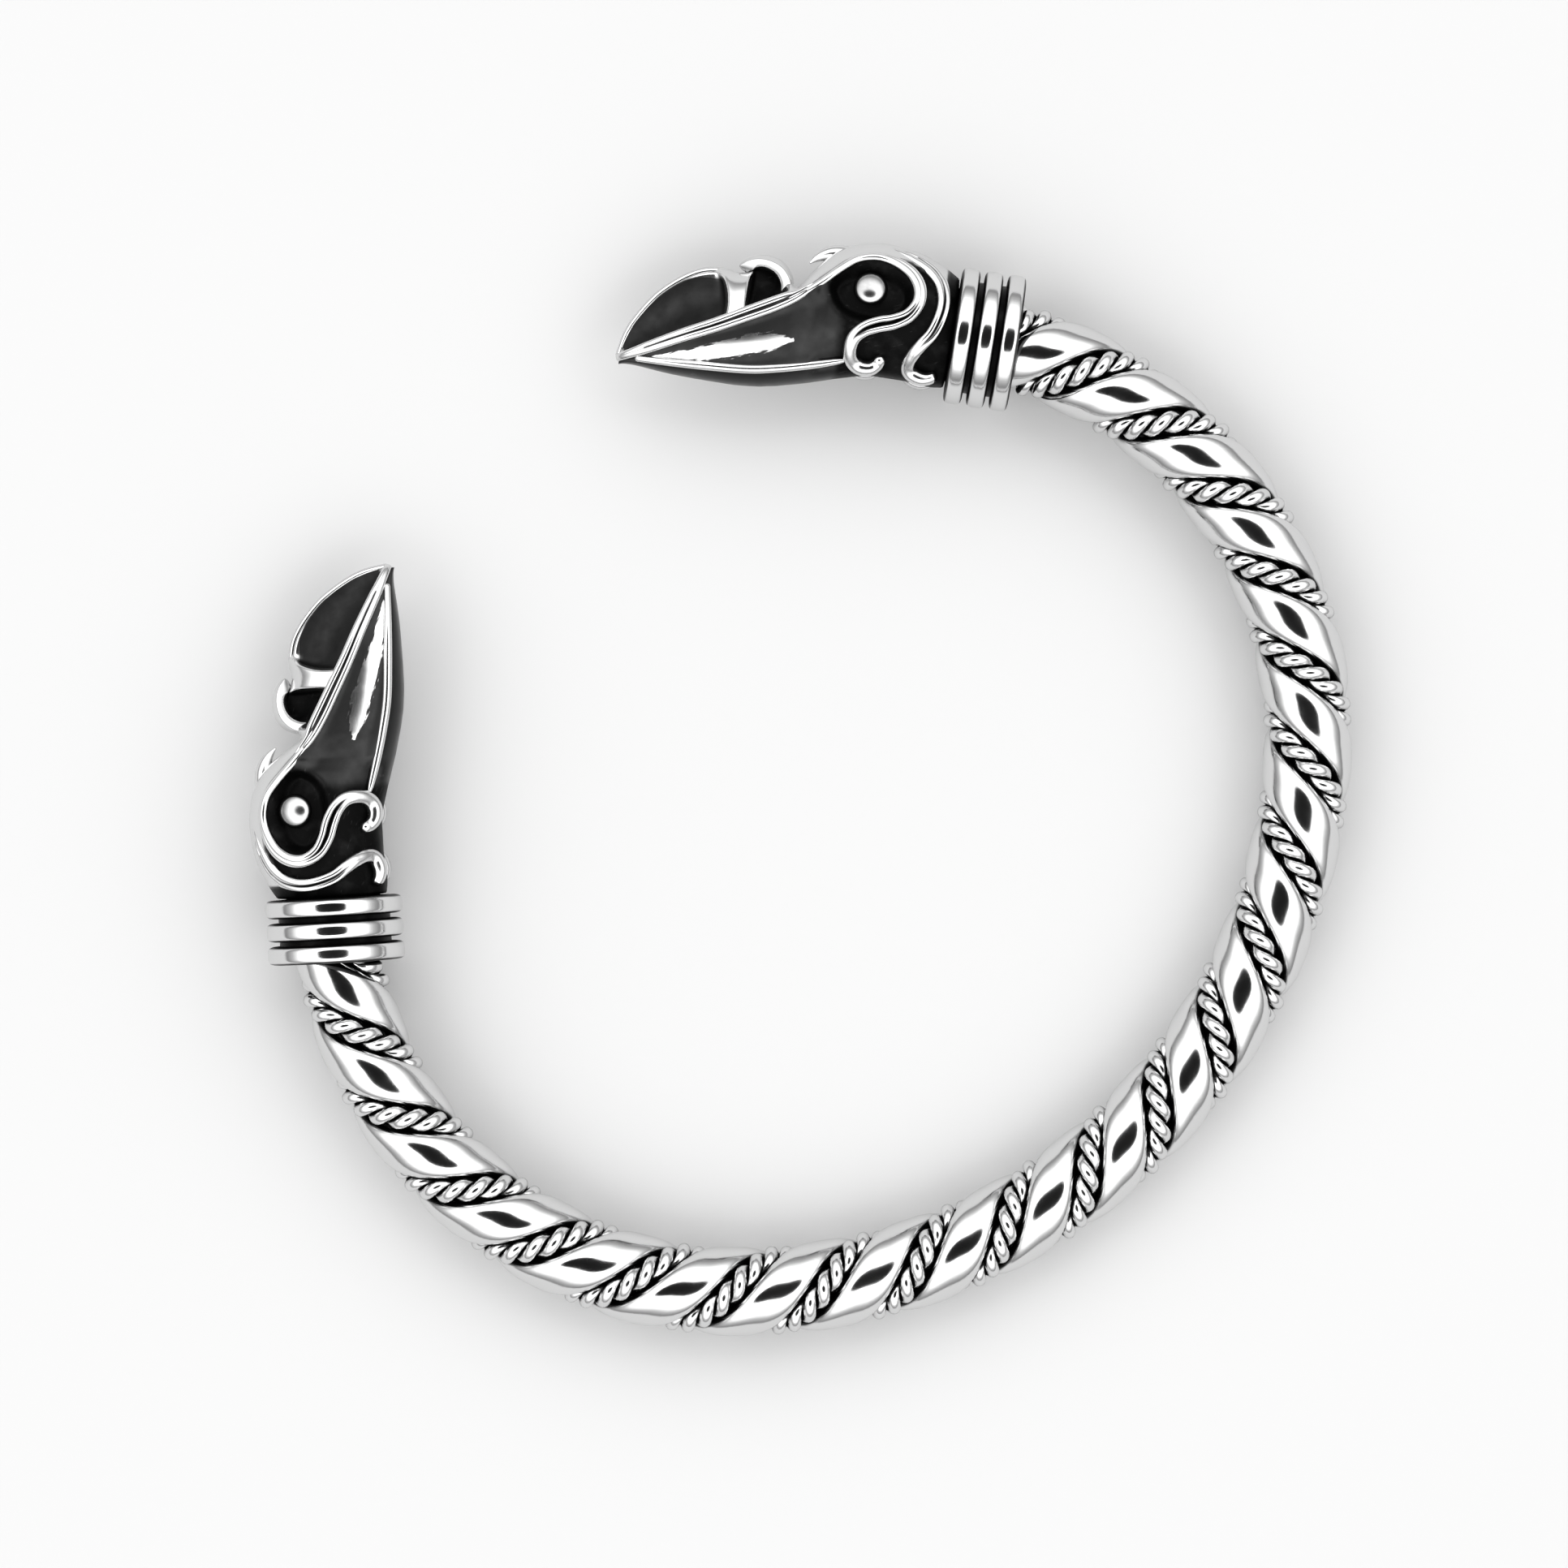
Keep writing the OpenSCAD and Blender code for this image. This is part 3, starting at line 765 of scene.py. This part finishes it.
def leanAndLift():
    # the ring rests on its collars' rearmost rings and on the back of the rope
    footY = collarPlace().y - collar["ringStep"] * cos(collarAngle + radians(ring["headTurn"]))
    lean = asin((collar["across"] - rope["across"]) / 2 / (footY + ring["backDepth"]))
    lift = ring["backDepth"] * sin(lean) + rope["across"] / 2 * cos(lean)
    return lean, lift


lean, lift = leanAndLift()
toTable = Matrix.Translation((0, 0, lift)) @ Matrix.Rotation(lean, 4, "X")


def layOnTable(piece):
    piece.location = (0, 0, lift * metresPerMm)
    piece.rotation_euler = (lean, 0, 0)
    piece.scale = (metresPerMm, metresPerMm, metresPerMm)
    applyPlace(piece)


ropeLine = curveLine("ropeLine", [ropeMiddle(oval["run"] * i / rope["lineSteps"])[0]
                                  for i in range(rope["lineSteps"] + 1)])
pieces = {}
for k in range(rope["strands"]):
    pieces[f"smooth_strand_{k + 1}"] = makeSmoothStrand(k, ropeLine)
    pieces[f"twisted_strand_{k + 1}"] = makeTwistedPair(k)
bpy.data.objects.remove(ropeLine)
print("rope made")

sleeve = makeCollar()
ontoRightEnd(sleeve)
sleeve.name = "ringedCollarRight"
bpy.ops.object.shade_smooth_by_angle(angle=radians(collar["shadeAngle"]))
pieces["collar_right"] = sleeve
pieces["collar_left"] = mirrored(sleeve, "ringedCollarLeft")
print("collars made")

raven = makeHead()
ontoRightEnd(raven)
raven.name = "ravenHeadRight"
pieces["raven_head_right"] = raven
pieces["raven_head_left"] = mirrored(raven, "ravenHeadLeft")
print("heads made:", sum(len(f.vertices) - 2 for f in raven.data.polygons), "triangles each")

for piece in pieces.values():
    layOnTable(piece)

# Materials

nodeSpacing = (200, -160)  # across and down in the node editor


def addNode(tree, kind, place, **values):
    node = tree.nodes.new(kind)
    node.location = (place[0] * nodeSpacing[0], place[1] * nodeSpacing[1])
    for name, value in values.items():
        setattr(node, name, value)
    return node


def newGroup(name, inputs, outputs):
    # a node group whose sockets all carry plain numbers
    group = bpy.data.node_groups.new(name, "ShaderNodeTree")
    for way, labels in (("INPUT", inputs), ("OUTPUT", outputs)):
        for label in labels:
            group.interface.new_socket(name=label, in_out=way, socket_type="NodeSocketFloat")
    return group, addNode(group, "NodeGroupInput", (0, 0)), addNode(group, "NodeGroupOutput", (8, 0))


oxide = {"detail": 5, "middle": 0.5}  # middle is the noise that leaves the edge where it was painted


def makeOxideGroup():
    # breaks up the painted edge between bare metal and black oxide
    group, given, result = newGroup("oxideEdge", ("Bare", "Patch size", "Roughness of edge"), ("Bare",))
    link = group.links.new
    coords = addNode(group, "ShaderNodeTexCoord", (1, 1))
    patches = addNode(group, "ShaderNodeTexNoise", (2, 1))
    patches.inputs["Detail"].default_value = oxide["detail"]
    centred = addNode(group, "ShaderNodeMath", (3, 1), operation="SUBTRACT")
    centred.inputs[1].default_value = oxide["middle"]
    scaled = addNode(group, "ShaderNodeMath", (4, 1), operation="MULTIPLY")
    total = addNode(group, "ShaderNodeMath", (5, 0), operation="ADD", use_clamp=True)
    link(coords.outputs["Object"], patches.inputs["Vector"])
    link(given.outputs["Patch size"], patches.inputs["Scale"])
    link(patches.outputs["Fac"], centred.inputs[0])
    link(centred.outputs[0], scaled.inputs[0])
    link(given.outputs["Roughness of edge"], scaled.inputs[1])
    link(given.outputs["Bare"], total.inputs[0])
    link(scaled.outputs[0], total.inputs[1])
    link(total.outputs[0], result.inputs["Bare"])
    return group


polishing = {"cloudDetail": 4, "scratchDetail": 6, "scratchRoughness": 0.7,
             "scratchStretch": (1, 1, 9), "scratchTurn": (0.5, 0.35, 0.8)}  # turned in radians


def makePolishGroup():
    # fine scratches and a slightly uneven hand-polished surface
    group, given, result = newGroup("handPolish", ("Size", "Base roughness", "Variation"),
                                    ("Roughness", "Height"))
    link = group.links.new
    coords = addNode(group, "ShaderNodeTexCoord", (1, 1))
    cloudy = addNode(group, "ShaderNodeTexNoise", (2, 0))
    cloudy.inputs["Detail"].default_value = polishing["cloudDetail"]
    stretch = addNode(group, "ShaderNodeMapping", (2, 2))
    stretch.inputs["Scale"].default_value = polishing["scratchStretch"]
    stretch.inputs["Rotation"].default_value = polishing["scratchTurn"]
    scratches = addNode(group, "ShaderNodeTexNoise", (3, 2))
    scratches.inputs["Detail"].default_value = polishing["scratchDetail"]
    scratches.inputs["Roughness"].default_value = polishing["scratchRoughness"]
    spread = addNode(group, "ShaderNodeMath", (4, 0), operation="MULTIPLY")
    total = addNode(group, "ShaderNodeMath", (5, 0), operation="ADD", use_clamp=True)
    link(coords.outputs["Object"], cloudy.inputs["Vector"])
    link(given.outputs["Size"], cloudy.inputs["Scale"])
    link(coords.outputs["Object"], stretch.inputs["Vector"])
    link(stretch.outputs["Vector"], scratches.inputs["Vector"])
    link(given.outputs["Size"], scratches.inputs["Scale"])
    link(cloudy.outputs["Fac"], spread.inputs[0])
    link(given.outputs["Variation"], spread.inputs[1])
    link(spread.outputs[0], total.inputs[0])
    link(given.outputs["Base roughness"], total.inputs[1])
    link(total.outputs[0], result.inputs["Roughness"])
    link(scratches.outputs["Fac"], result.inputs["Height"])
    return group


oxideEdge = makeOxideGroup()
handPolish = makePolishGroup()


def ramp(tree, place, stops):
    # a colour ramp through greys
    node = addNode(tree, "ShaderNodeValToRGB", place)
    while len(node.color_ramp.elements) < len(stops):
        node.color_ramp.elements.new(0.5)
    for element, (at, value) in zip(node.color_ramp.elements, stops):
        element.position = at
        element.color = (value, value, value, 1)
    return node


highlightEdgeGrain = {"size": 1, "detail": 4, "roughness": 0.55, "blackBelow": 0.65, "bareAbove": 0.95}


def addSideHighlight(tree, painted, edge):
    # a painted highlight: bare patches over the black on the beak's side, ragged along the beak, standing in
    # for a reflection of the light
    link = tree.links.new
    sideHighlight = addNode(tree, "ShaderNodeAttribute", (-4, 2), attribute_name="sideHighlight")
    along = addNode(tree, "ShaderNodeAttribute", (-4, 3), attribute_name="highlightEdgeCoords")
    grain = addNode(tree, "ShaderNodeTexNoise", (-3, 3))
    grain.inputs["Scale"].default_value = highlightEdgeGrain["size"]
    grain.inputs["Detail"].default_value = highlightEdgeGrain["detail"]
    grain.inputs["Roughness"].default_value = highlightEdgeGrain["roughness"]
    sharp = addNode(tree, "ShaderNodeMapRange", (-1, 2))
    sharp.inputs["From Min"].default_value = highlightEdgeGrain["blackBelow"]
    sharp.inputs["From Max"].default_value = highlightEdgeGrain["bareAbove"]
    total = addNode(tree, "ShaderNodeMath", (-2, 2), operation="ADD")
    most = addNode(tree, "ShaderNodeMath", (0, 1), operation="MAXIMUM")
    link(along.outputs["Vector"], grain.inputs["Vector"])
    link(grain.outputs["Fac"], total.inputs[0])
    link(sideHighlight.outputs["Fac"], total.inputs[1])
    link(total.outputs[0], sharp.inputs["Value"])
    link(sharp.outputs["Result"], most.inputs[0])
    link(painted.outputs["Fac"], most.inputs[1])
    link(most.outputs[0], edge.inputs["Bare"])


steel = {
    "patchSize": 900, "patchStrength": 0.25, "scratchSize": 700, "bump": 0.12, "bumpDistance": 0.00002,
    "roughness": 0.08, "roughnessSpread": 0.08, "highlightStreak": False,
    "black": 0.006, "satin": 0.035, "bare": 0.66,  # how light each state of the metal is
    "satinFrom": 0.35, "satinTo": 0.5, "bareFrom": 0.9,
    "dullness": [(0.0, 0.4), (0.35, 0.2), (0.85, 0.0)]}  # how bare, and the roughness that is added there


def makeSteel(name, sizes):
    # bare steel where the paint says so, black oxide in the hollows and dark satin grey between
    material = bpy.data.materials.new(name)
    material.use_nodes = True
    tree = material.node_tree
    tree.nodes.clear()
    link = tree.links.new
    out = addNode(tree, "ShaderNodeOutputMaterial", (9, 0))
    surface = addNode(tree, "ShaderNodeBsdfPrincipled", (8, 0))
    painted = addNode(tree, "ShaderNodeAttribute", (0, 0), attribute_name="bare")
    edge = addNode(tree, "ShaderNodeGroup", (1, 0), node_tree=oxideEdge)
    polish = addNode(tree, "ShaderNodeGroup", (1, 2), node_tree=handPolish)
    edge.inputs["Patch size"].default_value = sizes["patchSize"]
    edge.inputs["Roughness of edge"].default_value = sizes["patchStrength"]
    polish.inputs["Size"].default_value = sizes["scratchSize"]
    polish.inputs["Base roughness"].default_value = sizes["roughness"]
    polish.inputs["Variation"].default_value = sizes["roughnessSpread"]
    colour = ramp(tree, (3, 0), [(0, sizes["black"]), (sizes["satinFrom"], sizes["satin"]),
                                 (sizes["satinTo"], sizes["satin"]), (sizes["bareFrom"], sizes["bare"])])
    dullness = ramp(tree, (3, 2), sizes["dullness"])
    total = addNode(tree, "ShaderNodeMath", (5, 2), operation="ADD", use_clamp=True)
    bump = addNode(tree, "ShaderNodeBump", (6, 3))
    bump.inputs["Strength"].default_value = sizes["bump"]
    bump.inputs["Distance"].default_value = sizes["bumpDistance"]
    # the painted highlight streak on the beak's side, where the material has one
    if sizes["highlightStreak"]:
        addSideHighlight(tree, painted, edge)
    else:
        link(painted.outputs["Fac"], edge.inputs["Bare"])
    link(edge.outputs["Bare"], colour.inputs["Fac"])
    link(edge.outputs["Bare"], dullness.inputs["Fac"])
    link(dullness.outputs["Color"], total.inputs[0])
    link(polish.outputs["Roughness"], total.inputs[1])
    link(polish.outputs["Height"], bump.inputs["Height"])
    link(colour.outputs["Color"], surface.inputs["Base Color"])
    surface.inputs["Metallic"].default_value = 1
    link(total.outputs[0], surface.inputs["Roughness"])
    link(bump.outputs["Normal"], surface.inputs["Normal"])
    link(surface.outputs["BSDF"], out.inputs["Surface"])
    return material


# each finish is named for the word in the names of the nodes that wear it
finishes = {
    "smooth_strand": makeSteel("polishedStrand", steel),
    "twisted_strand": makeSteel("fineWire", {**steel, "roughness": 0.12}),
    "collar": makeSteel("ringedCollar", {**steel, "patchStrength": 0.45}),
    # the head also carries the painted highlight streak on the beak's side
    "head": makeSteel("ravenHead", {**steel, "roughness": 0.13, "patchStrength": 0.35, "highlightStreak": True}),
    "core": makeSteel("blackCore", {**steel, "bare": 0.02, "satin": 0.01})}

for node, piece in pieces.items():
    slotName = next(s for s in finishes if s in node)
    piece.data.materials.clear()
    piece.data.materials.append(finishes[slotName])
    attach(piece, "root")
    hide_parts(node)
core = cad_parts["core_rod"]
core.data.materials.clear()
core.data.materials.append(finishes["core"])
print("materials set")

# Floor, light and camera

studio = {"floorSize": 3, "floorColour": 0.55, "floorRoughness": 0.7, "skyStrength": 2.6,
          # angle from overhead and light there: the tent is darker low down
          "sky": [(180, 0.3), (95, 0.3), (86, 0.12), (72, 0.3), (55, 0.85), (42, 1), (0, 1)],
          # the dark opening: half its angles along the photo's right and up, and its soft edge and light
          "opening": (27, 20.5), "openingEdge": (0.92, 1.06), "openingLight": 0.004,
          # the camera looks square on to the ring; right and up are the photo's directions in its plane
          "lens": 136.6, "sensor": 36, "distance": 400, "clipStart": 0.01, "axisRight": -2.44, "axisUp": 1.84,
          "right": (0.740, -0.672, 0), "up": (0.672, 0.740, 0)}


def makeFloor():
    deselectAll()
    bpy.ops.mesh.primitive_plane_add(size=studio["floorSize"])
    floor = bpy.context.object
    floor.name = "tableTop"
    material = bpy.data.materials.new("paleTable")
    material.use_nodes = True
    surface = material.node_tree.nodes["Principled BSDF"]
    surface.inputs["Base Color"].default_value = (*[studio["floorColour"]] * 3, 1)
    surface.inputs["Roughness"].default_value = studio["floorRoughness"]
    floor.data.materials.append(material)


def makeSky():
    # a white tent of light with a dark opening overhead, where the photograph was taken from
    world = bpy.data.worlds.new("lightTent")
    bpy.context.scene.world = world
    world.use_nodes = True
    tree = world.node_tree
    tree.nodes.clear()
    link = tree.links.new
    out = addNode(tree, "ShaderNodeOutputWorld", (7, 0))
    back = addNode(tree, "ShaderNodeBackground", (6, 0))
    coords = addNode(tree, "ShaderNodeTexCoord", (0, 0))
    split = addNode(tree, "ShaderNodeSeparateXYZ", (1, 0))
    height = addNode(tree, "ShaderNodeMapRange", (1, 1))
    height.inputs["From Min"].default_value = -1
    tent = ramp(tree, (2, 1), [((1 + cos(radians(a))) / 2, light) for a, light in studio["sky"]])
    link(coords.outputs["Generated"], split.inputs[0])
    link(split.outputs["Z"], height.inputs["Value"])
    link(height.outputs["Result"], tent.inputs["Fac"])
    across = addNode(tree, "ShaderNodeCombineXYZ", (2, 2))
    for i, (way, angle) in enumerate(zip(("right", "up"), studio["opening"])):
        along = addNode(tree, "ShaderNodeVectorMath", (1, 2 + i), operation="DOT_PRODUCT")
        along.inputs[1].default_value = Vector(studio[way]) / sin(radians(angle))
        link(coords.outputs["Generated"], along.inputs[0])
        link(along.outputs["Value"], across.inputs[i])
    outwards = addNode(tree, "ShaderNodeVectorMath", (3, 2), operation="LENGTH")
    edge = addNode(tree, "ShaderNodeMapRange", (4, 2))
    edge.inputs["From Min"].default_value, edge.inputs["From Max"].default_value = studio["openingEdge"]
    edge.inputs["To Min"].default_value = studio["openingLight"]
    strength = addNode(tree, "ShaderNodeMath", (5, 2), operation="MULTIPLY")
    strength.inputs[1].default_value = studio["skyStrength"]
    link(across.outputs[0], outwards.inputs[0])
    link(outwards.outputs["Value"], edge.inputs["Value"])
    link(edge.outputs["Result"], strength.inputs[0])
    link(tent.outputs["Color"], back.inputs["Color"])
    link(strength.outputs[0], back.inputs["Strength"])
    link(back.outputs[0], out.inputs["Surface"])


def makeCamera():
    right, up = Vector(studio["right"]), Vector(studio["up"])
    out = Vector((0, 0, 1))
    aim = right * studio["axisRight"] + up * studio["axisUp"]
    flat = Matrix((right, up, out)).transposed().to_4x4()
    flat.translation = aim + out * studio["distance"]
    placed = toTable @ flat
    camera = bpy.data.objects.new("camera", bpy.data.cameras.new("camera"))
    bpy.context.scene.collection.objects.link(camera)
    camera.data.lens = studio["lens"]
    camera.data.sensor_width = studio["sensor"]
    camera.data.clip_start = studio["clipStart"]
    camera.rotation_euler = placed.to_euler()
    camera.location = placed.translation * metresPerMm
    bpy.context.scene.camera = camera


makeFloor()
makeSky()
makeCamera()
bpy.context.scene.view_settings.view_transform = "Standard"
print("stage set")
